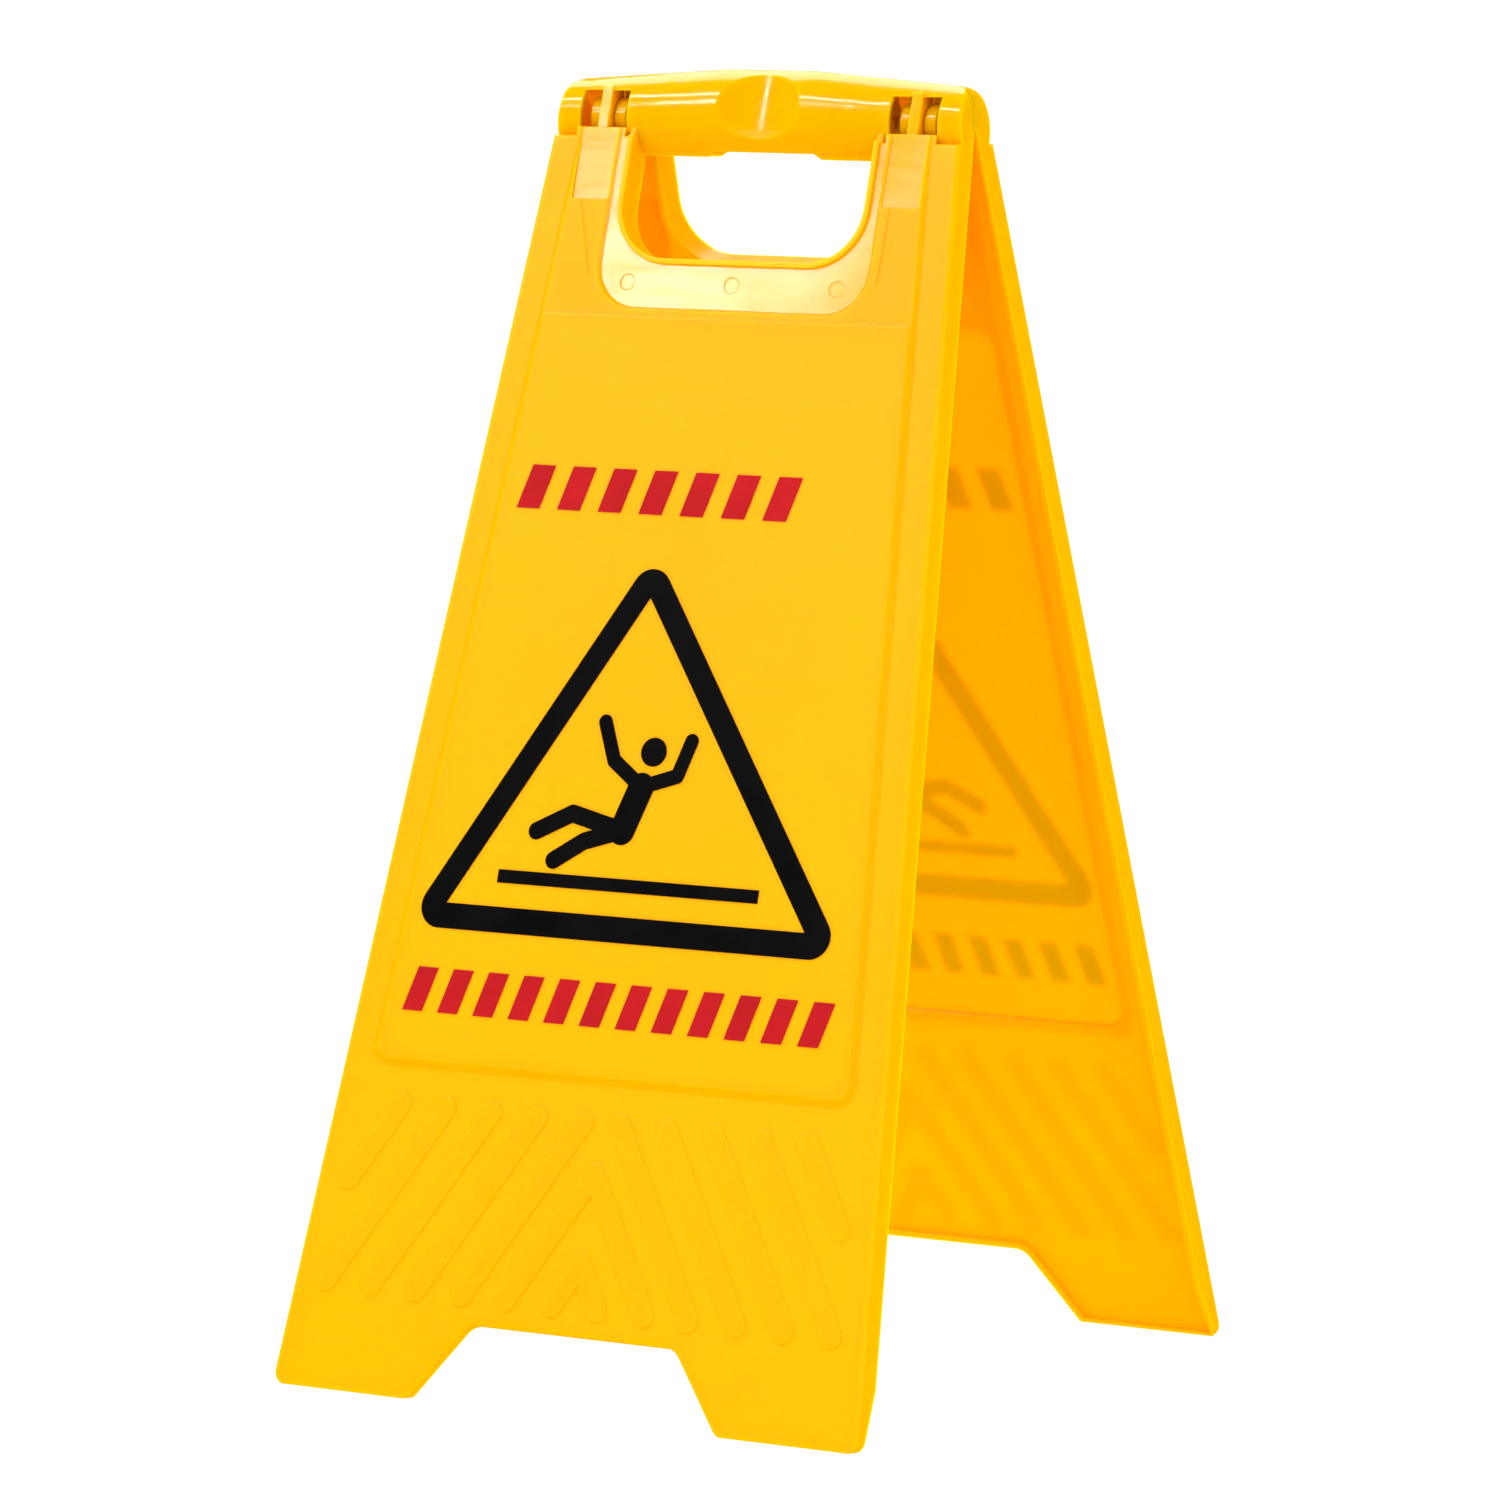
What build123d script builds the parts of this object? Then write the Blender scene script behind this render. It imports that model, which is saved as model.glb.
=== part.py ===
from build123d import *
import os
from math import atan2, cos, degrees, radians, sin, tan

os.makedirs("parts", exist_ok=True)

# Wet floor sign: two moulded panels that fold about a hinge inside a split handle.
# World: X across the sign, front panel towards -Y, +Z up, origin on the floor at the centre.
# Panel plane: x across, y up the slope from the feet, offset outwards from the folding plane.

# Driving dimensions, in millimetres and degrees
foot_width = 300.0          # across the feet
hinge_width = 208.0         # across the panel at the hinge
hinge_slope = 587.5         # from the feet to the hinge axis, along the slope
lean_angle = 15.8           # each panel from the vertical when the sign stands open
panel_depth = 13.3          # folding plane to the front face of the margins
wall = 2.5                  # moulded wall
fold_gap = 0.2              # each panel stands this far off the folding plane
edge_radius = 1.8           # outer edges of the moulding
post_drop = 11.5            # top of the posts beside the handle, below the hinge along the slope
bite = 0.5                  # overlap that joins one shape to the next

notch_height = 36.0         # opening between the feet
notch_top_width = 105.0
notch_foot_width = 159.0
foot_corner = 6.0
crown_corner = 9.0          # upper corners of the notch
rim_depth = 6.0             # turned back rim along the feet and the notch
rim_reach = 5.0             # the rim ends this far above the notch
flange_taper = 32.0         # side flanges run out over this height at the feet

plateau_rise = 1.8          # raised middle of the panel
plateau_margin = 14.0       # flat strip beside it
plateau_foot = 147.0        # lower edge, along the slope
plateau_corner = 9.0
plateau_taper = 62.0        # slope of its edge
seat_drop = 7.0             # top of the plateau beside the hinges, below the hinge
display_drop = 95.5         # upper edge of the display face, below the hinge
display_step = 0.6          # the face above it lies this much lower
display_taper = 70.0        # slope of that step

hole_width = 125.0          # carrying hole under the handle
hole_drop = 68.0            # lower edge, below the hinge
hole_corner = 26.0
hole_roll = 1.8             # rounded front edge of the hole
lip_land = 0.4              # flat strip between that edge and the side of the lip
recess_side = 8.0           # sunk border round the hole
recess_below = 24.0
recess_corner = 22.0
recess_depth = 1.5
recess_taper = 45.0
ejector_mark = 7.4          # round marks on the floor of the recess
ejector_depth = 0.3
ejector_place = 54.0        # outer marks from the centre
ejector_drop = 79.0         # below the hinge

pad_width = 19.0            # sunk pad below each hinge window
pad_drop = 41.5             # lower edge, below the hinge
pad_depth = 1.0
pad_corner = 1.5
wedge_width = 9.3           # shallow wedge that runs down from each pad
wedge_drop = 77.5           # its point, below the hinge
wedge_depth = 0.35
wedge_drift = 5.8           # its point lies this much nearer the centre

handle_top_end = 16.8       # above the hinge axis, at the handle's ends
handle_top_middle = 22.8
handle_front = 13.9         # parting plane to the front of the handle
handle_front_level = 0.8    # height of that point above the axis
handle_foot = 16.6          # underside, below the axis
handle_wall = 2.5
handle_crown = 44.0         # level middle of the handle's top
handle_end_round = 8.0      # upper corners of the handle
handle_edge = 1.0           # edges of the handle's ends
around = 30.0               # clears the handle on every side
relief_width = 58.0         # finger relief under the handle
relief_depth = 2.6
scoop_radius = 45.0         # thumb scoop, a round hollow that runs along the slope
scoop_floor = 9.4           # folding plane to its deepest line
relief_slope = 45.0         # degrees, its ends
rib_pitch = 20.0
rib_places = (-3, -2, 2, 3)  # in pitches from the centre
rib_wall = 1.6

hinge_offset = 80.0         # middle of each hinge from the centre
window_width = 25.0
window_top = 12.5           # above the axis
window_foot = 4.0           # below the axis
window_back = 3.0           # parting plane to the back of the window
web_wall = 5.0              # front knuckle
web_radius = 7.0
web_front = 12.8            # flat front of the web, from the folding plane
ear_wall = 5.5              # rear knuckles
ear_radius = 9.5
knuckle_gap = 1.0
pin_diameter = 6.0
pin_clearance = 0.08        # radial, in the rear knuckles
pin_overhang = 1.2
pin_chamfer = 0.5

slat_width = 10.0
slat_rise = 0.6
slat_edge = 0.35            # rounded edge of each slat
slat_margin = 16.7          # from the panel's side to the end of a slat
slat_pitch = 23.8
slat_first = 9.5
slat_count = 5
slat_top = 130.1            # centre of a slat's upper end, along the slope
slat_foot = 48.4
slat_lean = 30.8            # degrees from the slope line
chevron_top = 107.8
small_chevron_top = 67.8

film = 0.25                 # printed film on the display faces
triangle_lift = 0.1826      # above the plateau's lower edge, as a share of the display face's height
triangle_share = 0.5116     # its own height, likewise
triangle_width = 227.0
triangle_stroke = 11.6
triangle_corner = 10.0
print_drift = 0.077         # the print drifts to its left by this share of its height
figure_lift = 0.17          # its lowest point up the triangle, as a share of the triangle's height
figure_drawn_for = 176.5    # height of the triangle that the figure's sizes suit
figure_head = 13.0
body_width = 13.0
arm_width = 6.8
leg_width = 8.0
floor_bar_lift = 0.1275     # lower edge of the floor line, likewise
floor_bar_size = (134.0, 6.0)
upper_marks_drop = 0.2594   # below the top of the display face, as a share of its height
upper_marks_size = (149.0, 20.0)
upper_marks_count = 7
lower_marks_lift = 0.0725   # above the plateau's lower edge, likewise
lower_marks_size = (222.0, 20.0)
lower_marks_count = 12
mark_fill = 0.56            # inked share of each mark's pitch
mark_slant = 0.35           # lean of a mark, as a share of its height

# Worked out from the driving dimensions
lean = radians(lean_angle)
hinge_height = hinge_slope * cos(lean) - panel_depth * sin(lean)
side_slope = (foot_width - hinge_width) / 2 / hinge_slope
foot_point = (0, -hinge_slope * sin(lean), hinge_height - hinge_slope * cos(lean))
front_plane = Plane(origin=foot_point, x_dir=(1, 0, 0), z_dir=(0, -cos(lean), sin(lean)))
rear_point = (0, hinge_slope * sin(lean), hinge_height - hinge_slope * cos(lean))
rear_plane = Plane(origin=rear_point, x_dir=(-1, 0, 0), z_dir=(0, cos(lean), sin(lean)))
side_plane = Plane(origin=foot_point, x_dir=(0, sin(lean), cos(lean)), z_dir=(1, 0, 0))
slope_plane = Plane(origin=foot_point, x_dir=(1, 0, 0), z_dir=(0, sin(lean), cos(lean)))
outwards = Axis(origin=foot_point, direction=(0, -cos(lean), sin(lean)))
face_level = panel_depth + plateau_rise
lip_growth = hole_roll + lip_land
post_top = hinge_slope - post_drop
seat_top = hinge_slope - seat_drop
display_top = hinge_slope - display_drop
hole_foot = hinge_slope - hole_drop
ejector_height = hinge_slope - ejector_drop
pad_foot = hinge_slope - pad_drop
wedge_foot = hinge_slope - wedge_drop
display_height = display_top - plateau_foot
triangle_foot = plateau_foot + triangle_lift * display_height
triangle_height = triangle_share * display_height
figure_scale = triangle_height / figure_drawn_for
figure_foot = triangle_foot + figure_lift * triangle_height
floor_bar_foot = triangle_foot + floor_bar_lift * triangle_height
floor_bar_length = figure_scale * floor_bar_size[0]
floor_bar_height = figure_scale * floor_bar_size[1]
upper_marks_foot = display_top - upper_marks_drop * display_height
lower_marks_foot = plateau_foot + lower_marks_lift * display_height


def half_width(slope):
    """Half the panel's width at a height along the slope."""
    return foot_width / 2 - side_slope * slope


def panel_outline():
    """Panel with two feet and the notch between them."""
    with BuildSketch() as outline:
        with BuildLine():
            Polyline(
                (notch_foot_width / 2, 0),
                (half_width(0), 0),
                (half_width(post_top), post_top),
                (-half_width(post_top), post_top),
                (-half_width(0), 0),
                (-notch_foot_width / 2, 0),
                (-notch_top_width / 2, notch_height),
                (notch_top_width / 2, notch_height),
                close=True,
            )
        make_face()
        fillet(outline.vertices().group_by(Axis.Y)[1], radius=crown_corner)
        fillet(outline.vertices().group_by(Axis.Y)[0], radius=foot_corner)
    return outline.sketch


def plateau_outline(inset, foot, top, foot_round, top_round=0):
    """Raised middle of the panel, between two heights along the slope."""
    with BuildSketch() as outline:
        with BuildLine():
            Polyline(
                (-half_width(foot) + inset, foot),
                (half_width(foot) - inset, foot),
                (half_width(top) - inset, top),
                (-half_width(top) + inset, top),
                close=True,
            )
        make_face()
        if top_round > 0:
            fillet(outline.vertices().group_by(Axis.Y)[-1], radius=top_round)
        fillet(outline.vertices().group_by(Axis.Y)[0], radius=foot_round)
    return outline.sketch


def pan_outline():
    """Hollow behind the display face, which keeps the wall even."""
    inset = plateau_margin + 2 * wall
    return plateau_outline(inset, plateau_foot + 2 * wall, display_top - wall, plateau_corner, plateau_corner)


def hole_outline(growth, foot, corner, top=hinge_slope):
    """U-shaped hole, open at its top, where the handle crosses it."""
    width = hole_width + 2 * growth
    height = top - foot
    with BuildSketch() as outline:
        with Locations((0, foot + height / 2)):
            Rectangle(width, height)
        fillet(outline.vertices().group_by(Axis.Y)[0], radius=corner)
    return outline.sketch


def on_slat_level(face):
    """True for the flat tops of the slats."""
    place = front_plane.to_local_coords(face.center())
    return abs(place.Z - panel_depth - slat_rise) < 0.01


def slat(top, foot, start):
    """One rounded slat, leaning outwards as it runs down from (start, top)."""
    run = (top - foot) / cos(radians(slat_lean))
    middle = (start + run / 2 * sin(radians(slat_lean)), (top + foot) / 2)
    with Locations(middle):
        SlotCenterToCenter(run, slat_width, rotation=90 + slat_lean)


def slat_pattern():
    """Five slats on the right, their mirror images on the left, and two chevrons in the middle."""
    with BuildSketch() as pattern:
        for index in range(slat_count):
            start = slat_first + index * slat_pitch
            spread = tan(radians(slat_lean))
            side_foot = (start + slat_top * spread + slat_margin - foot_width / 2) / (spread - side_slope)
            slat(slat_top, max(slat_foot, side_foot), start)
        slat(chevron_top, slat_foot, 0)
        slat(small_chevron_top, slat_foot, 0)
        mirror(about=Plane.YZ)
    return pattern.sketch


def panel_sheet():
    """Sheet with side flanges turned back to the folding plane and a shallow rim round the feet."""
    rim_top = notch_height + rim_reach
    with BuildPart() as sheet:
        with BuildSketch(front_plane.offset(fold_gap)):
            add(panel_outline())
        extrude(amount=panel_depth - fold_gap)
        fillet(sheet.faces().sort_by(outwards)[-1].edges(), radius=edge_radius)
        with BuildSketch(front_plane.offset(fold_gap)):
            add(panel_outline())
            offset(amount=-wall, mode=Mode.REPLACE)
        extrude(amount=panel_depth - wall - fold_gap, mode=Mode.SUBTRACT)
        with BuildSketch(front_plane):
            with BuildLine():
                Polyline(
                    (half_width(0) - wall, -bite),
                    (half_width(rim_top) - wall, rim_top),
                    (-half_width(rim_top) + wall, rim_top),
                    (-half_width(0) + wall, -bite),
                    close=True,
                )
            make_face()
        extrude(amount=panel_depth - rim_depth, mode=Mode.SUBTRACT)
        with BuildSketch(side_plane):
            with BuildLine():
                Polyline(
                    (-bite, -bite),
                    (flange_taper, -bite),
                    (bite, panel_depth - rim_depth),
                    (-bite, panel_depth - rim_depth),
                    close=True,
                )
            make_face()
        extrude(amount=foot_width, both=True, mode=Mode.SUBTRACT)
    return sheet.part


def hinge_positions():
    """Places of the two hinges across the sign."""
    return (-hinge_offset, hinge_offset)


def handle_section(x, top, inset, back):
    """Half of the handle's cross-section: one arc in front, and the parting plane behind."""
    foot_back = -handle_foot * tan(lean) - back
    with BuildSketch(Plane.YZ.offset(x)) as section:
        with BuildLine():
            ThreePointArc(
                (-back, hinge_height + top - inset),
                (-handle_front + inset, hinge_height + handle_front_level),
                (foot_back, hinge_height - handle_foot + inset),
            )
            Polyline(
                (foot_back, hinge_height - handle_foot + inset),
                (-back, hinge_height),
                (-back, hinge_height + top - inset),
            )
        make_face()
    return section.sketch


def handle_loft(inset, back, reach):
    """Half handle whose top climbs straight from both ends to a level middle."""
    tops = (handle_top_end, handle_top_middle, handle_top_middle, handle_top_end)
    places = (-reach, -handle_crown / 2, handle_crown / 2, reach)
    sections = [handle_section(x, top, inset, back) for x, top in zip(places, tops)]
    with BuildPart() as solid:
        loft(sections, ruled=True)
    return solid.part


def scoop_cut(growth):
    """Round bar along the slope, in front of the handle, whose back is the scoop's surface."""
    with BuildPart() as bar:
        with BuildSketch(slope_plane.offset(hinge_slope - around)):
            with Locations((0, -scoop_floor - scoop_radius)):
                Circle(scoop_radius + growth)
        extrude(amount=2 * around)
    return bar.part


def handle_core():
    """Hollow inside the half handle, less the ribs and the wall behind the thumb scoop."""
    with BuildPart() as core:
        add(handle_loft(handle_wall, -handle_wall, hinge_width / 2 - handle_wall - bite))
        add(scoop_cut(handle_wall), mode=Mode.SUBTRACT)
        with Locations((0, 0, hinge_height - handle_foot)):
            Box(relief_width + 2 * handle_wall, around, 2 * (relief_depth + handle_wall), mode=Mode.SUBTRACT)
        with Locations(*[(rib_pitch * place, 0, hinge_height) for place in rib_places]):
            Box(rib_wall, 2 * around, 2 * around, mode=Mode.SUBTRACT)
    return core.part


def handle_trim():
    """Outline that cuts the handle to the panel's sides and rounds its upper corners."""
    low = hinge_slope - around
    shoulder = hinge_slope + handle_top_end * cos(lean)
    peak = hinge_slope + handle_top_middle + bite
    with BuildSketch() as trim:
        with BuildLine():
            Polyline(
                (half_width(low), low),
                (half_width(shoulder), shoulder),
                (0, peak + bite),
                (-half_width(shoulder), shoulder),
                (-half_width(low), low),
                close=True,
            )
        make_face()
        fillet(trim.vertices().group_by(Axis.Y)[1], radius=handle_end_round)
    return trim.sketch


def handle_half():
    """Half handle with its thumb scoop and finger relief, trimmed to the panel's sides."""
    with BuildPart() as handle:
        add(handle_loft(0, fold_gap, hinge_width / 2 + 6))
        with BuildSketch(front_plane.offset(-around)):
            add(handle_trim())
        extrude(amount=2 * around, mode=Mode.INTERSECT)
        ends = handle.faces().sort_by(Axis.X)
        front_edges = ends[0].edges().sort_by(Axis.Y)[0:1] + ends[-1].edges().sort_by(Axis.Y)[0:1]
        fillet(front_edges, radius=handle_edge)
        add(scoop_cut(0), mode=Mode.SUBTRACT)
        with BuildSketch(Plane.XZ.offset(-around)):
            with Locations((0, hinge_height - handle_foot)):
                Trapezoid(relief_width, relief_depth, relief_slope, align=(Align.CENTER, Align.MIN))
        extrude(amount=2 * around, mode=Mode.SUBTRACT)
        add(handle_core(), mode=Mode.SUBTRACT)
    return handle.part


def hinge_pads():
    """Sunk pad on each post, below the hinge window."""
    with BuildSketch() as pads:
        with Locations(*[(x, (pad_foot + hinge_slope) / 2) for x in hinge_positions()]):
            Rectangle(pad_width, hinge_slope - pad_foot)
        fillet(pads.vertices().group_by(Axis.Y)[0], radius=pad_corner)
    return pads.sketch


def hinge_seats():
    """Upper ends of the posts, which fill the space below the hinge windows."""
    with BuildSketch() as seats:
        with Locations(*[(x, seat_top) for x in hinge_positions()]):
            Rectangle(window_width, seat_top - pad_foot, align=(Align.CENTER, Align.MAX))
    return seats.sketch


def pad_wedges():
    """Narrow triangles that run down from the pads."""
    with BuildSketch() as wedges:
        for side in (-1, 1):
            with BuildLine():
                Polyline(
                    (side * (hinge_offset - wedge_width / 2), pad_foot + bite),
                    (side * (hinge_offset + wedge_width / 2), pad_foot + bite),
                    (side * (hinge_offset - wedge_drift), wedge_foot),
                    close=True,
                )
            make_face()
    return wedges.sketch


def panel_moulding():
    """Everything that both panels share, in the front panel's place."""
    upper_level = face_level - display_step
    upper_height = hinge_slope - display_top
    with BuildPart() as moulding:
        add(panel_sheet())
        with BuildSketch(front_plane.offset(panel_depth - wall)):
            add(hinge_seats())
        extrude(amount=wall)
        with BuildSketch(front_plane.offset(panel_depth)):
            add(plateau_outline(plateau_margin, plateau_foot, seat_top, plateau_corner))
        extrude(amount=plateau_rise, taper=plateau_taper)
        with BuildSketch(front_plane.offset(face_level)):
            with Locations((0, display_top + upper_height / 2)):
                Rectangle(foot_width, upper_height)
        extrude(amount=-display_step, taper=display_taper, mode=Mode.SUBTRACT)
        with BuildSketch(front_plane.offset(panel_depth - wall)):
            add(pan_outline())
        extrude(amount=plateau_rise, taper=plateau_taper / 2, mode=Mode.SUBTRACT)
        with BuildSketch(front_plane.offset(fold_gap)):
            add(hole_outline(wall, hole_foot - wall, hole_corner + wall))
        extrude(amount=panel_depth - fold_gap - wall / 2)
        with BuildSketch(front_plane.offset(upper_level)):
            add(hole_outline(recess_side, hole_foot - recess_below, recess_corner))
        extrude(amount=-recess_depth, taper=recess_taper, mode=Mode.SUBTRACT)
        with BuildSketch(front_plane.offset(upper_level - recess_depth - ejector_depth)):
            with Locations(*[(x, ejector_height) for x in (-ejector_place, 0, ejector_place)]):
                Circle(ejector_mark / 2)
        extrude(amount=plateau_rise, mode=Mode.SUBTRACT)
        with BuildSketch(front_plane.offset(panel_depth - bite)):
            add(hole_outline(lip_growth, hole_foot - lip_growth, hole_corner + lip_growth, post_top))
        extrude(amount=bite + plateau_rise - display_step)
        with BuildSketch(front_plane.offset(upper_level)):
            add(hinge_pads())
        extrude(amount=-pad_depth, mode=Mode.SUBTRACT)
        with BuildSketch(front_plane.offset(upper_level)):
            add(pad_wedges())
        extrude(amount=-wedge_depth, mode=Mode.SUBTRACT)
        with BuildSketch(front_plane.offset(-bite)):
            add(hole_outline(0, hole_foot, hole_corner))
        extrude(amount=panel_depth + wall, mode=Mode.SUBTRACT)
        with BuildSketch(front_plane.offset(panel_depth - bite)):
            add(slat_pattern())
        extrude(amount=bite + slat_rise)
        fillet(moulding.faces().filter_by(on_slat_level).edges(), radius=slat_edge)
        split(bisect_by=Plane.XY)
        add(handle_half())
    return moulding.part


def knuckle(radius, width, places):
    """Round discs about the hinge axis."""
    with BuildPart() as discs:
        for place in places:
            with BuildSketch(Plane.YZ.offset(place - width / 2)):
                with Locations((0, hinge_height)):
                    Circle(radius)
            extrude(amount=width)
    return discs.part


def knuckle_arm(width, places):
    """Plates that join the discs to the wall of the front half handle."""
    with BuildPart() as arms:
        for place in places:
            section = handle_section(place - width / 2, handle_top_end, handle_wall / 2, fold_gap)
            add(extrude(section, amount=width, mode=Mode.PRIVATE))
    return arms.part


def web_strips():
    """Flat strip up the front of each hinge window, in line with the posts."""
    top = hinge_slope + window_top / cos(lean) - web_front * tan(lean)
    with BuildPart() as strips:
        with BuildSketch(front_plane.offset(web_front - 2 * wall)):
            with Locations(*[(x, (seat_top + top) / 2) for x in hinge_positions()]):
                Rectangle(web_wall, top - seat_top + 2 * wall)
        extrude(amount=2 * wall)
    return strips.part


def pin_bore(radius):
    """Bore along the hinge axis, through both hinges."""
    with BuildPart() as bore:
        with BuildSketch(Plane.YZ.offset(-hinge_width / 2 + 2 * wall)):
            with Locations((0, hinge_height)):
                Circle(radius)
        extrude(amount=hinge_width - 4 * wall)
    return bore.part


def front_panel(moulding):
    """Front panel: its half handle has the hinge windows and a knuckle in each of them."""
    with BuildPart() as panel:
        add(moulding)
        window_middle = hinge_height + (window_top - window_foot) / 2
        with Locations(*[(x, -handle_front, window_middle) for x in hinge_positions()]):
            Box(window_width, 2 * (handle_front - window_back), window_top + window_foot, mode=Mode.SUBTRACT)
        add(knuckle_arm(web_wall, hinge_positions()))
        add(web_strips())
        add(knuckle(web_radius, web_wall, hinge_positions()))
        add(pin_bore(pin_diameter / 2), mode=Mode.SUBTRACT)
    panel.part.label = "front_panel"
    export_step(panel.part, "parts/front_panel.step")
    return panel.part


def rear_panel(moulding):
    """Rear panel: the same moulding turned to the back, with two ears in each hinge."""
    reach = (web_wall + ear_wall) / 2 + knuckle_gap
    places = [x + side * reach for x in hinge_positions() for side in (-1, 1)]
    with BuildPart() as panel:
        add(moulding)
        add(knuckle_arm(ear_wall, places))
        add(knuckle(ear_radius, ear_wall, places))
        add(pin_bore(pin_diameter / 2 + pin_clearance), mode=Mode.SUBTRACT)
        mirror(about=Plane.XZ, mode=Mode.REPLACE)
    panel.part.label = "rear_panel"
    export_step(panel.part, "parts/rear_panel.step")
    return panel.part


def hinge_pin(name, place):
    """Plain plastic pin, held in the front knuckle and running in the rear ears."""
    length = web_wall + 2 * (knuckle_gap + ear_wall + pin_overhang)
    with BuildPart() as pin:
        with BuildSketch(Plane.YZ.offset(place - length / 2)):
            with Locations((0, hinge_height)):
                Circle(pin_diameter / 2)
        extrude(amount=length)
        chamfer(pin.edges().filter_by(GeomType.CIRCLE), length=pin_chamfer)
    pin.part.label = name
    export_step(pin.part, "parts/" + name + ".step")


def drifted(across, height):
    """Place on the panel of a printed point, whose upright leans with the panel's edge."""
    return (across - print_drift * (height - lower_marks_foot), height)


def triangle_print():
    """Triangular border with rounded corners."""
    half = figure_scale * triangle_width / 2
    with BuildSketch() as border:
        with BuildLine():
            Polyline(
                drifted(-half, triangle_foot),
                drifted(half, triangle_foot),
                drifted(0, triangle_foot + triangle_height),
                close=True,
            )
        make_face()
        rim = border.face()
        fillet(border.vertices(), radius=figure_scale * triangle_corner)
        offset(rim, amount=-figure_scale * triangle_stroke, kind=Kind.INTERSECTION, mode=Mode.SUBTRACT)
    return border.sketch


def figure_point(point):
    """Place on the panel of a point of the figure, whose own origin is at its foot."""
    across, height = point
    return Vector(*drifted(figure_scale * across, figure_foot + figure_scale * height))


def limb(start, end, width):
    """Straight limb with round ends, between two points of the figure."""
    run = figure_point(end) - figure_point(start)
    middle = (figure_point(end) + figure_point(start)) / 2
    with Locations(middle):
        SlotCenterToCenter(run.length, figure_scale * width, rotation=degrees(atan2(run.Y, run.X)))


def figure_print():
    """Person slipping backwards, built from a round head and straight limbs."""
    head, neck = (8, 56), (3, 40)
    hip, seat = (-5, 20), (-31, 26)
    left_elbow, left_hand = (-12, 51), (-18, 68)
    right_elbow, right_hand = (21, 46), (27, 62)
    left_foot, right_knee, right_foot = (-49, 17), (-24, 14), (-39, 4.5)
    with BuildSketch() as figure:
        with Locations(figure_point(head)):
            Circle(figure_scale * figure_head / 2)
        limb(hip, neck, body_width)
        limb(neck, left_elbow, arm_width)
        limb(left_elbow, left_hand, arm_width)
        limb(neck, right_elbow, arm_width)
        limb(right_elbow, right_hand, arm_width)
        limb(hip, seat, leg_width)
        limb(seat, left_foot, leg_width)
        limb(hip, right_knee, leg_width)
        limb(right_knee, right_foot, leg_width)
    return figure.sketch


def floor_bar_print():
    """Line of the floor under the figure."""
    with BuildSketch() as bar:
        with Locations(drifted(0, floor_bar_foot + floor_bar_height / 2)):
            Rectangle(floor_bar_length, floor_bar_height)
    return bar.sketch


def marks_print(foot, size, count):
    """Row of slanted blocks that stands where a caption would be."""
    pitch = size[0] / count
    block = pitch * mark_fill
    slant = mark_slant * size[1]
    with BuildSketch() as marks:
        for index in range(count):
            start = -size[0] / 2 + index * pitch
            with BuildLine():
                Polyline(
                    drifted(start, foot),
                    drifted(start + block, foot),
                    drifted(start + block + slant, foot + size[1]),
                    drifted(start + slant, foot + size[1]),
                    close=True,
                )
            make_face()
    return marks.sketch


def printed(name, artwork, plane):
    """Film of ink on a display face."""
    with BuildPart() as ink:
        with BuildSketch(plane.offset(face_level)):
            add(artwork)
        extrude(amount=film)
    ink.part.label = name
    export_step(ink.part, "parts/" + name + ".step")


moulding = panel_moulding()
front_panel(moulding)
rear_panel(moulding)
hinge_pin("hinge_pin_left", -hinge_offset)
hinge_pin("hinge_pin_right", hinge_offset)
for side, plane in (("front", front_plane), ("rear", rear_plane)):
    printed("warning_triangle_" + side, triangle_print(), plane)
    printed("slipping_figure_" + side, figure_print(), plane)
    printed("floor_bar_" + side, floor_bar_print(), plane)
    printed("upper_marks_" + side, marks_print(upper_marks_foot, upper_marks_size, upper_marks_count), plane)
    printed("lower_marks_" + side, marks_print(lower_marks_foot, lower_marks_size, lower_marks_count), plane)
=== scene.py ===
import math

import bpy
import numpy as np
from mathutils import Matrix, Vector

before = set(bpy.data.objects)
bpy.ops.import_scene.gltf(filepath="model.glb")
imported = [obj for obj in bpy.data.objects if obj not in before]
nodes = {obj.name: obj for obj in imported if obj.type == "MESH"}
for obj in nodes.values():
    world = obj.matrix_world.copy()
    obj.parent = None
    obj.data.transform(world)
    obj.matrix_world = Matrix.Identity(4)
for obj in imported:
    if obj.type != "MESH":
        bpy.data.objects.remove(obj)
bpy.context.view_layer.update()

scene = bpy.context.scene
print("wet floor sign: frame loaded,", len(nodes), "nodes")


def srgbToLinear(code):
    # hex colour to the linear colour that shaders want
    values = [int(code[i:i + 2], 16) / 255 for i in (1, 3, 5)]
    return tuple(v / 12.92 if v <= 0.04045 else ((v + 0.055) / 1.055) ** 2.4 for v in values) + (1.0,)


def addNode(tree, kind, settings, links):
    # one node: its settings by name, and its inputs by name or number, as a value or as (node, output)
    node = tree.nodes.new(kind)
    for key, value in settings.items():
        setattr(node, key, value)
    for key, value in links.items():
        if isinstance(value, tuple) and isinstance(value[0], bpy.types.Node):
            tree.links.new(value[0].outputs[value[1]], node.inputs[key])
        else:
            node.inputs[key].default_value = value
    return node


def emptyMaterial(name):
    material = bpy.data.materials.new(name)
    material.use_nodes = True
    material.node_tree.nodes.clear()
    return material, material.node_tree


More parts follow.
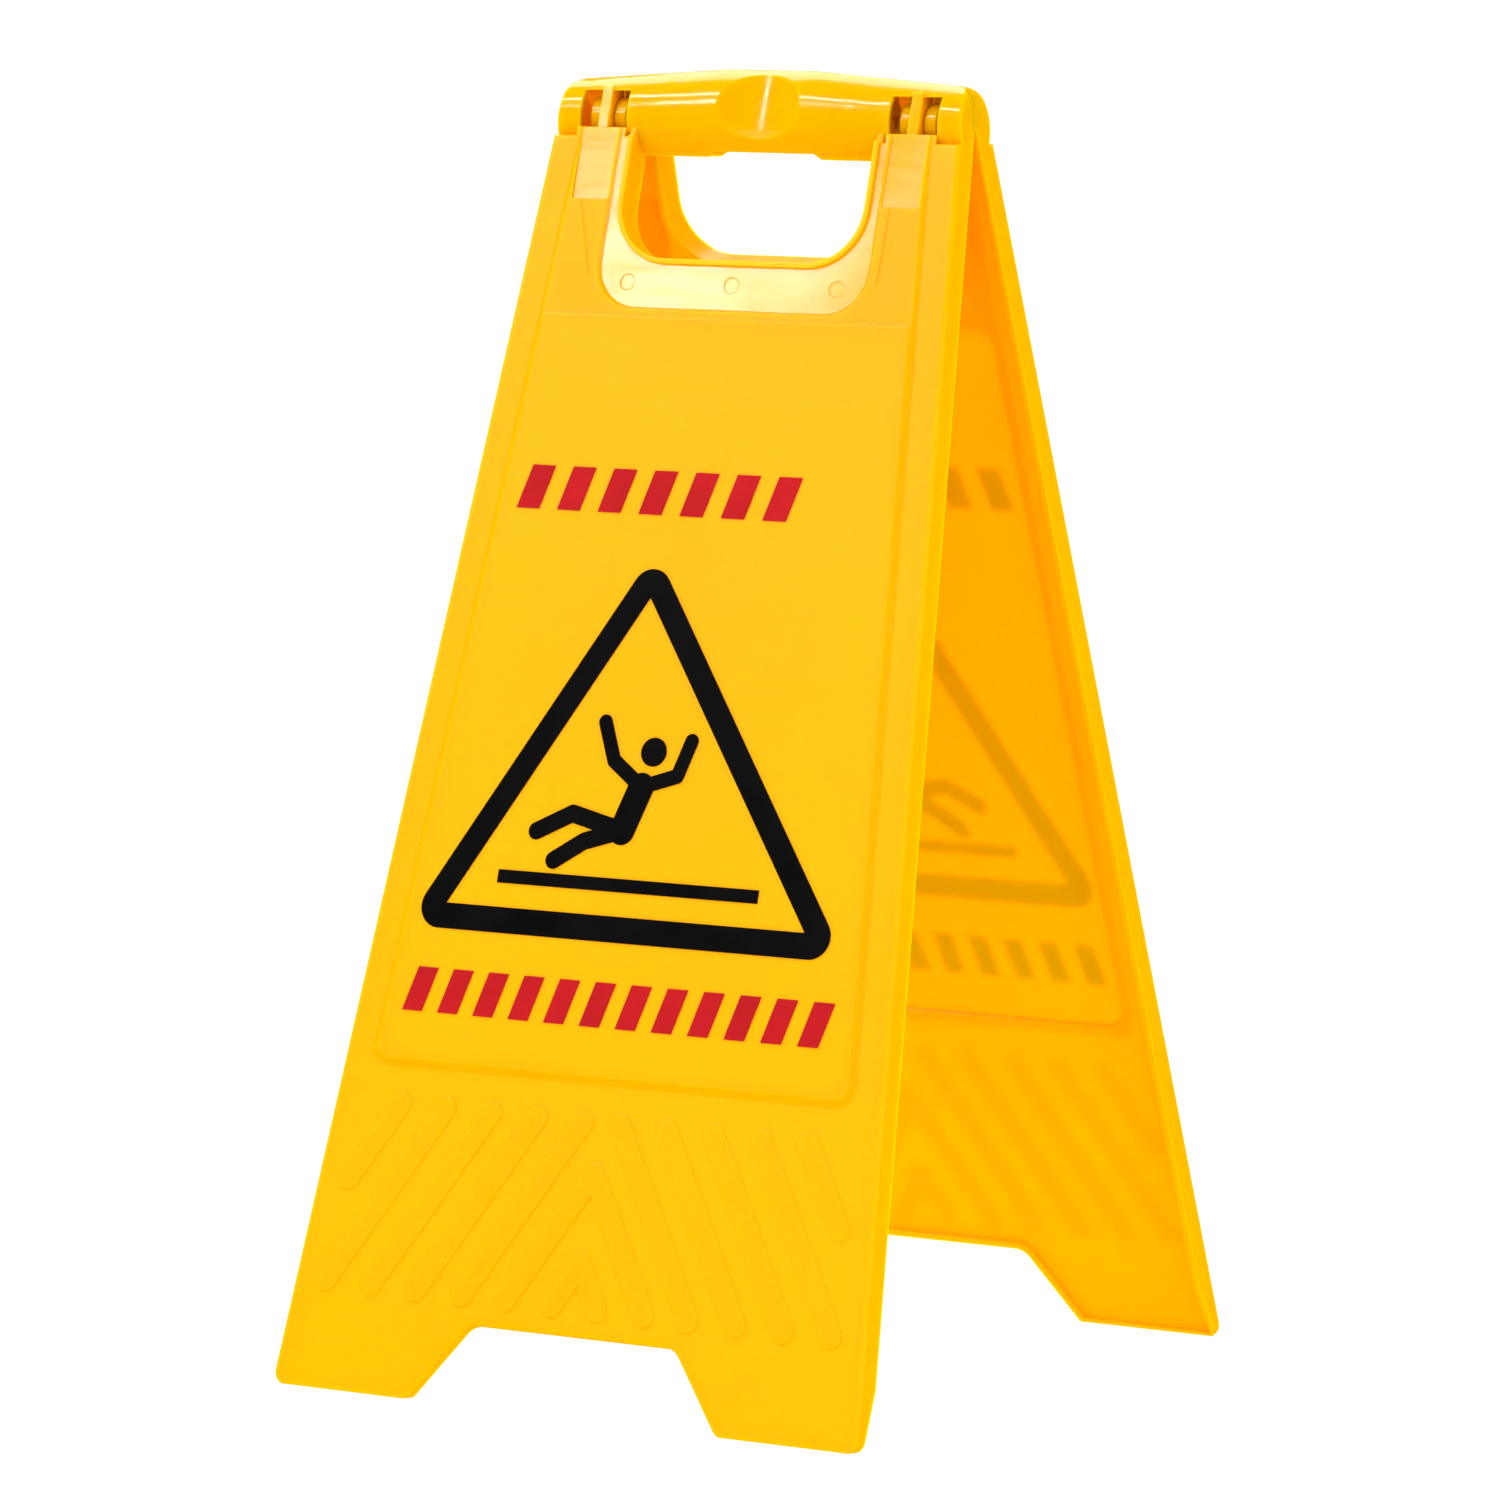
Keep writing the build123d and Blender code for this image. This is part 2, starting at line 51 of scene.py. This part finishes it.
# Polypropylene, injection moulded: a milky, slightly see-through orange yellow. It gives a wet
# gloss where the mould was polished, on the handle, the pads and the floor of the border round
# the hole, and a dull sheen everywhere else. The flats' lean is in the shading alone.
plastic = {
    "colour": "#FFB000",
    "colourDeep": "#FFAC00",
    "cloudScale": 9.0,          # clouds of the tint per metre
    "cloudSpan": (0.3, 0.7),    # noise that gives the deep and the plain colour
    "ior": 1.49,
    "roughness": (0.07, 0.18),  # polished parts
    "roughnessField": (0.4, 0.46),  # the rest
    "shine": 0.35,              # specular level
    "handleFoot": 0.558,        # m, the handle is polished above this height
    "flatFoot": 0.4735,         # m, the polished flats lie between this height and the handle
    "flatDepths": ((0.0126, 0.0131), (0.0134, 0.0136)),  # m from the folding plane, border and pads
    "flatTilt": 0.07,           # slope by which these flats lean back
    "satin": 0.12,              # share of polish between these flats
    "lean": math.radians(15.8),  # each panel from the vertical
    "hingeHeight": 0.561682,    # m
    "scatter": 1.0,             # share of light that goes into the wall
    "scatterDepth": 0.009,      # m, how far it spreads there
    "scatterColour": (1.0, 0.8, 0.08),
    "peelPitch": 0.0022,        # m, orange peel
    "peelHeight": 0.000006,
    "sinkPitch": 0.045,         # m, sink and warp of the thin wall
    "sinkHeight": 0.0004,
    "edgeRound": 0.0006,        # m, moulded edge radius
    "rubLength": 0.05,          # m, rub marks
    "rubSqueeze": (1, 25, 6),   # they are this much finer along each axis
    "rubTurn": (0.3, 0.5, 0.9),  # radians
    "rubSpan": (0.35, 0.72),    # noise that gives the least and the most rubbed
}


def polypropylene():
    p = plastic
    material, tree = emptyMaterial("polypropyleneMoulded")
    place = addNode(tree, "ShaderNodeTexCoord", {}, {})
    spot = (place, "Object")
    cloud = addNode(tree, "ShaderNodeTexNoise", {}, {
        "Vector": spot, "Scale": p["cloudScale"], "Detail": 3.0})
    tint = addNode(tree, "ShaderNodeValToRGB", {}, {"Fac": (cloud, "Fac")})
    tint.color_ramp.elements[0].position = p["cloudSpan"][0]
    tint.color_ramp.elements[0].color = srgbToLinear(p["colourDeep"])
    tint.color_ramp.elements[1].position = p["cloudSpan"][1]
    tint.color_ramp.elements[1].color = srgbToLinear(p["colour"])
    # depth of a point in its panel = |y| cos(lean) + (z - hinge height) sin(lean)
    split = addNode(tree, "ShaderNodeSeparateXYZ", {}, {"Vector": spot})
    across = addNode(tree, "ShaderNodeMath", {"operation": "ABSOLUTE"}, {0: (split, "Y")})
    inward = addNode(tree, "ShaderNodeMath", {"operation": "MULTIPLY"}, {
        0: (across, "Value"), 1: math.cos(p["lean"])})
    sine = math.sin(p["lean"])
    depth = addNode(tree, "ShaderNodeMath", {"operation": "MULTIPLY_ADD"}, {
        0: (split, "Z"), 1: sine, 2: (inward, "Value")})
    flats = []
    for deep, shallow in p["flatDepths"]:
        flats.append(addNode(tree, "ShaderNodeMath", {"operation": "COMPARE"}, {
            0: (depth, "Value"), 1: (deep + shallow) / 2 + p["hingeHeight"] * sine,
            2: (shallow - deep) / 2}))
    level = addNode(tree, "ShaderNodeMath", {"operation": "MAXIMUM"}, {
        0: (flats[0], "Value"), 1: (flats[1], "Value")})
    above = addNode(tree, "ShaderNodeMath", {"operation": "GREATER_THAN"}, {
        0: (split, "Z"), 1: p["flatFoot"]})
    below = addNode(tree, "ShaderNodeMath", {"operation": "LESS_THAN"}, {
        0: (split, "Z"), 1: p["handleFoot"]})
    between = addNode(tree, "ShaderNodeMath", {"operation": "MULTIPLY"}, {
        0: (above, "Value"), 1: (below, "Value")})
    flat = addNode(tree, "ShaderNodeMath", {"operation": "MULTIPLY"}, {
        0: (level, "Value"), 1: (between, "Value")})
    handle = addNode(tree, "ShaderNodeMath", {"operation": "GREATER_THAN"}, {
        0: (split, "Z"), 1: p["handleFoot"]})
    bright = addNode(tree, "ShaderNodeMath", {"operation": "MAXIMUM"}, {
        0: (flat, "Value"), 1: (handle, "Value")})
    satin = addNode(tree, "ShaderNodeMath", {"operation": "MULTIPLY"}, {
        0: (between, "Value"), 1: p["satin"]})
    wet = addNode(tree, "ShaderNodeMath", {"operation": "MAXIMUM"}, {
        0: (bright, "Value"), 1: (satin, "Value")})
    # rub marks: noise stretched along one slanting line
    squeeze = tuple(share / p["rubLength"] for share in p["rubSqueeze"])
    stretch = addNode(tree, "ShaderNodeMapping", {}, {
        "Vector": spot, "Rotation": p["rubTurn"], "Scale": squeeze})
    rub = addNode(tree, "ShaderNodeTexNoise", {}, {
        "Vector": (stretch, "Vector"), "Scale": 1.0, "Detail": 4.0, "Roughness": 0.7})
    polish = addNode(tree, "ShaderNodeMapRange", {}, {
        "Value": (rub, "Fac"), "From Min": p["rubSpan"][0], "From Max": p["rubSpan"][1],
        "To Min": p["roughness"][0], "To Max": p["roughness"][1]})
    dull = addNode(tree, "ShaderNodeMapRange", {}, {
        "Value": (rub, "Fac"), "From Min": p["rubSpan"][0], "From Max": p["rubSpan"][1],
        "To Min": p["roughnessField"][0], "To Max": p["roughnessField"][1]})
    gloss = addNode(tree, "ShaderNodeMix", {"data_type": "FLOAT"}, {
        0: (wet, "Value"), 2: (dull, "Result"), 3: (polish, "Result")})
    # relief: rounded edges, then sink marks, then orange peel
    sink = addNode(tree, "ShaderNodeTexNoise", {}, {
        "Vector": spot, "Scale": 1 / p["sinkPitch"], "Detail": 1.0})
    peel = addNode(tree, "ShaderNodeTexNoise", {}, {
        "Vector": spot, "Scale": 1 / p["peelPitch"], "Detail": 2.0})
    rounded = addNode(tree, "ShaderNodeBevel", {"samples": 6}, {"Radius": p["edgeRound"]})
    warped = addNode(tree, "ShaderNodeBump", {}, {
        "Height": (sink, "Fac"), "Distance": p["sinkHeight"], "Strength": 1.0,
        "Normal": (rounded, "Normal")})
    pebbled = addNode(tree, "ShaderNodeBump", {}, {
        "Height": (peel, "Fac"), "Distance": p["peelHeight"], "Strength": 1.0,
        "Normal": (warped, "Normal")})
    # the polished flats lean back a little, so they catch a softbox of their own
    lean = addNode(tree, "ShaderNodeMath", {"operation": "MULTIPLY"}, {
        0: (flat, "Value"), 1: p["flatTilt"]})
    upward = addNode(tree, "ShaderNodeCombineXYZ", {}, {"Z": (lean, "Value")})
    tilted = addNode(tree, "ShaderNodeVectorMath", {"operation": "ADD"}, {
        0: (pebbled, "Normal"), 1: (upward, "Vector")})
    facing = addNode(tree, "ShaderNodeVectorMath", {"operation": "NORMALIZE"}, {0: (tilted, "Vector")})
    shader = addNode(tree, "ShaderNodeBsdfPrincipled", {}, {
        "Base Color": (tint, "Color"),
        "Roughness": (gloss, "Result"),
        "IOR": p["ior"],
        "Specular IOR Level": p["shine"],
        "Normal": (facing, "Vector"),
        "Subsurface Weight": p["scatter"],
        "Subsurface Radius": p["scatterColour"],
        "Subsurface Scale": p["scatterDepth"],
    })
    addNode(tree, "ShaderNodeOutputMaterial", {}, {"Surface": (shader, "BSDF")})
    return material


# Screen printing ink, pressed through a mesh: it gives a flat, dark film with a satin finish, a
# faint thread pattern and small clouds where it is thinner.
ink = {
    "black": ("#030303", "#090808"),
    "red": ("#BE0814", "#B20611"),
    "cloudScale": 40.0,         # clouds per metre
    "cloudSpan": (0.35, 0.65),
    "ior": 1.48,
    "shine": 0.15,              # specular level
    "roughness": (0.5, 0.6),
    "threadPitch": 0.0009,      # m, a coarse mesh
    "threadHeight": 0.000008,
}


def screenInk(name, shades):
    p = ink
    material, tree = emptyMaterial(name)
    place = addNode(tree, "ShaderNodeTexCoord", {}, {})
    spot = (place, "Object")
    cloud = addNode(tree, "ShaderNodeTexNoise", {}, {
        "Vector": spot, "Scale": p["cloudScale"], "Detail": 5.0})
    tint = addNode(tree, "ShaderNodeValToRGB", {}, {"Fac": (cloud, "Fac")})
    tint.color_ramp.elements[0].position = p["cloudSpan"][0]
    tint.color_ramp.elements[0].color = srgbToLinear(shades[0])
    tint.color_ramp.elements[1].position = p["cloudSpan"][1]
    tint.color_ramp.elements[1].color = srgbToLinear(shades[1])
    gloss = addNode(tree, "ShaderNodeMapRange", {}, {
        "Value": (cloud, "Fac"), "To Min": p["roughness"][0], "To Max": p["roughness"][1]})
    thread = addNode(tree, "ShaderNodeTexNoise", {}, {
        "Vector": spot, "Scale": 1 / p["threadPitch"], "Detail": 1.0})
    relief = addNode(tree, "ShaderNodeBump", {}, {
        "Height": (thread, "Fac"), "Distance": p["threadHeight"], "Strength": 1.0})
    shader = addNode(tree, "ShaderNodeBsdfPrincipled", {}, {
        "Base Color": (tint, "Color"),
        "Roughness": (gloss, "Result"),
        "IOR": p["ior"],
        "Specular IOR Level": p["shine"],
        "Normal": (relief, "Normal"),
    })
    addNode(tree, "ShaderNodeOutputMaterial", {}, {"Surface": (shader, "BSDF")})
    return material


yellow = polypropylene()
black = screenInk("screenInkBlack", ink["black"])
red = screenInk("screenInkRed", ink["red"])


def dress(node, material):
    node.data.materials.clear()
    node.data.materials.append(material)


for name, node in nodes.items():
    if "marks" in name:
        dress(node, red)
    elif name.endswith(("_front", "_rear")):
        dress(node, black)
    else:
        dress(node, yellow)
print("materials: polypropylene, black ink, red ink")


# Light table and softboxes: a floor that glows white, so that the sign stands almost without
# shadow. Gloss mirrors only the boxes named in "mirrored".
studio = {
    "floor": "#F4F4F2",
    "floorRadius": 60.0,        # m
    "floorFirstRing": 0.05,     # m
    "floorRings": 24,
    "floorTurns": 64,
    "floorGlow": 1.02,
    "floorShare": 0.14,         # share of the floor that still takes shadow
    "surround": 1.13,
    "aim": (0.0, -0.05, 0.54),
    "middle": (0.0, 0.0, 0.3),
    "boxes": {
        "glow": {"place": (-1.30, -1.765, 1.79), "size": (0.18, 0.36), "power": 4.4},
        "strip": {"place": (-1.12, -1.35, 2.15), "size": (1.1, 0.07), "power": 11.0},
        "overhead": {"place": (-0.95, 0.95, 2.4), "size": (1.8, 1.0), "power": 26.0},
        "wash": {"place": (-1.5, -3.2, 2.4), "size": (2.0, 1.2), "power": 2.0},
        "right": {"place": (2.3, -2.5, 0.5), "size": (1.2, 0.8), "power": 2.0},
        "back": {"place": (0.6, 3.0, 1.2), "size": (1.6, 1.2), "power": 28.0},
        "side": {"place": (2.8, -1.35, 1.4), "size": (0.5, 1.6), "power": 10.0},
    },
    "mirrored": ("glow", "strip", "overhead", "side"),
}


def studioFloor():
    # polar grid: rings of growing radius, flat at height zero; point = (r cos a, r sin a, 0)
    p = studio
    radii = np.geomspace(p["floorFirstRing"], p["floorRadius"], p["floorRings"])
    rings = np.concatenate([[0.0], radii])
    turns = np.linspace(0, 2 * np.pi, p["floorTurns"], endpoint=False)
    flat = np.zeros((rings.size, turns.size))
    grid = np.stack([np.outer(rings, np.cos(turns)), np.outer(rings, np.sin(turns)), flat], -1)
    index = np.arange(rings.size * turns.size).reshape(rings.size, turns.size)
    ahead = np.roll(index, -1, axis=1)
    quads = np.stack([index[:-1], index[1:], ahead[1:], ahead[:-1]], -1).reshape(-1, 4)
    mesh = bpy.data.meshes.new("studioFloor")
    mesh.from_pydata(grid.reshape(-1, 3), [], quads.tolist())
    floor = bpy.data.objects.new("studioFloor", mesh)
    floor.visible_glossy = False
    scene.collection.objects.link(floor)
    material, tree = emptyMaterial("opalAcrylicLit")
    matt = addNode(tree, "ShaderNodeBsdfDiffuse", {}, {"Color": srgbToLinear(p["floor"])})
    glow = addNode(tree, "ShaderNodeEmission", {}, {"Strength": p["floorGlow"] / (1 - p["floorShare"])})
    both = addNode(tree, "ShaderNodeMixShader", {}, {
        0: p["floorShare"], 1: (glow, "Emission"), 2: (matt, "BSDF")})
    addNode(tree, "ShaderNodeOutputMaterial", {}, {"Surface": (both, "Shader")})
    mesh.materials.append(material)


def softbox(name, facts, target, mirrored):
    lamp = bpy.data.lights.new(name, "AREA")
    lamp.shape = "RECTANGLE"
    lamp.size, lamp.size_y = facts["size"]
    lamp.energy = facts["power"]
    holder = bpy.data.objects.new(name, lamp)
    holder.location = facts["place"]
    away = Vector(target) - Vector(facts["place"])
    holder.rotation_euler = away.to_track_quat("-Z", "Y").to_euler()
    holder.visible_glossy = mirrored
    scene.collection.objects.link(holder)


studioFloor()
for name, facts in studio["boxes"].items():
    mirrored = name in studio["mirrored"]
    softbox(name, facts, studio["aim"] if mirrored else studio["middle"], mirrored)
world = bpy.data.worlds.new("studioSurround")
scene.world = world
world.use_nodes = True
world.node_tree.nodes.clear()
surround = addNode(world.node_tree, "ShaderNodeBackground", {}, {
    "Color": (1, 1, 1, 1), "Strength": studio["surround"]})
addNode(world.node_tree, "ShaderNodeOutputWorld", {}, {"Surface": (surround, "Background")})
world.cycles_visibility.glossy = False      # gloss mirrors the softboxes alone
scene.view_settings.view_transform = "Standard"
print("studio: light table and", len(studio["boxes"]), "softboxes")


# Camera: a long lens, a little above the sign and to its right
shot = {
    "place": (1.72895, -2.97097, 0.63483),
    "yaw": 0.5289,
    "pitch": -0.1033,
    "roll": 0.0116,
    "lens": 7650.5 / 1500 * 36,
}


def aimCamera():
    p = shot
    camera = bpy.data.objects.new("camera", bpy.data.cameras.new("camera"))
    camera.data.lens = p["lens"]
    camera.data.sensor_width = 36
    camera.data.clip_start, camera.data.clip_end = 0.1, 200
    flat = math.cos(p["pitch"])
    forward = Vector((-math.sin(p["yaw"]) * flat, math.cos(p["yaw"]) * flat, math.sin(p["pitch"])))
    level = Vector((math.cos(p["yaw"]), math.sin(p["yaw"]), 0))
    upright = level.cross(forward)
    right = level * math.cos(p["roll"]) + upright * math.sin(p["roll"])
    up = upright * math.cos(p["roll"]) - level * math.sin(p["roll"])
    turn = Matrix((right, up, -forward)).transposed().to_4x4()
    camera.matrix_world = Matrix.Translation(p["place"]) @ turn
    scene.collection.objects.link(camera)
    scene.camera = camera


aimCamera()
print("camera: aimed")
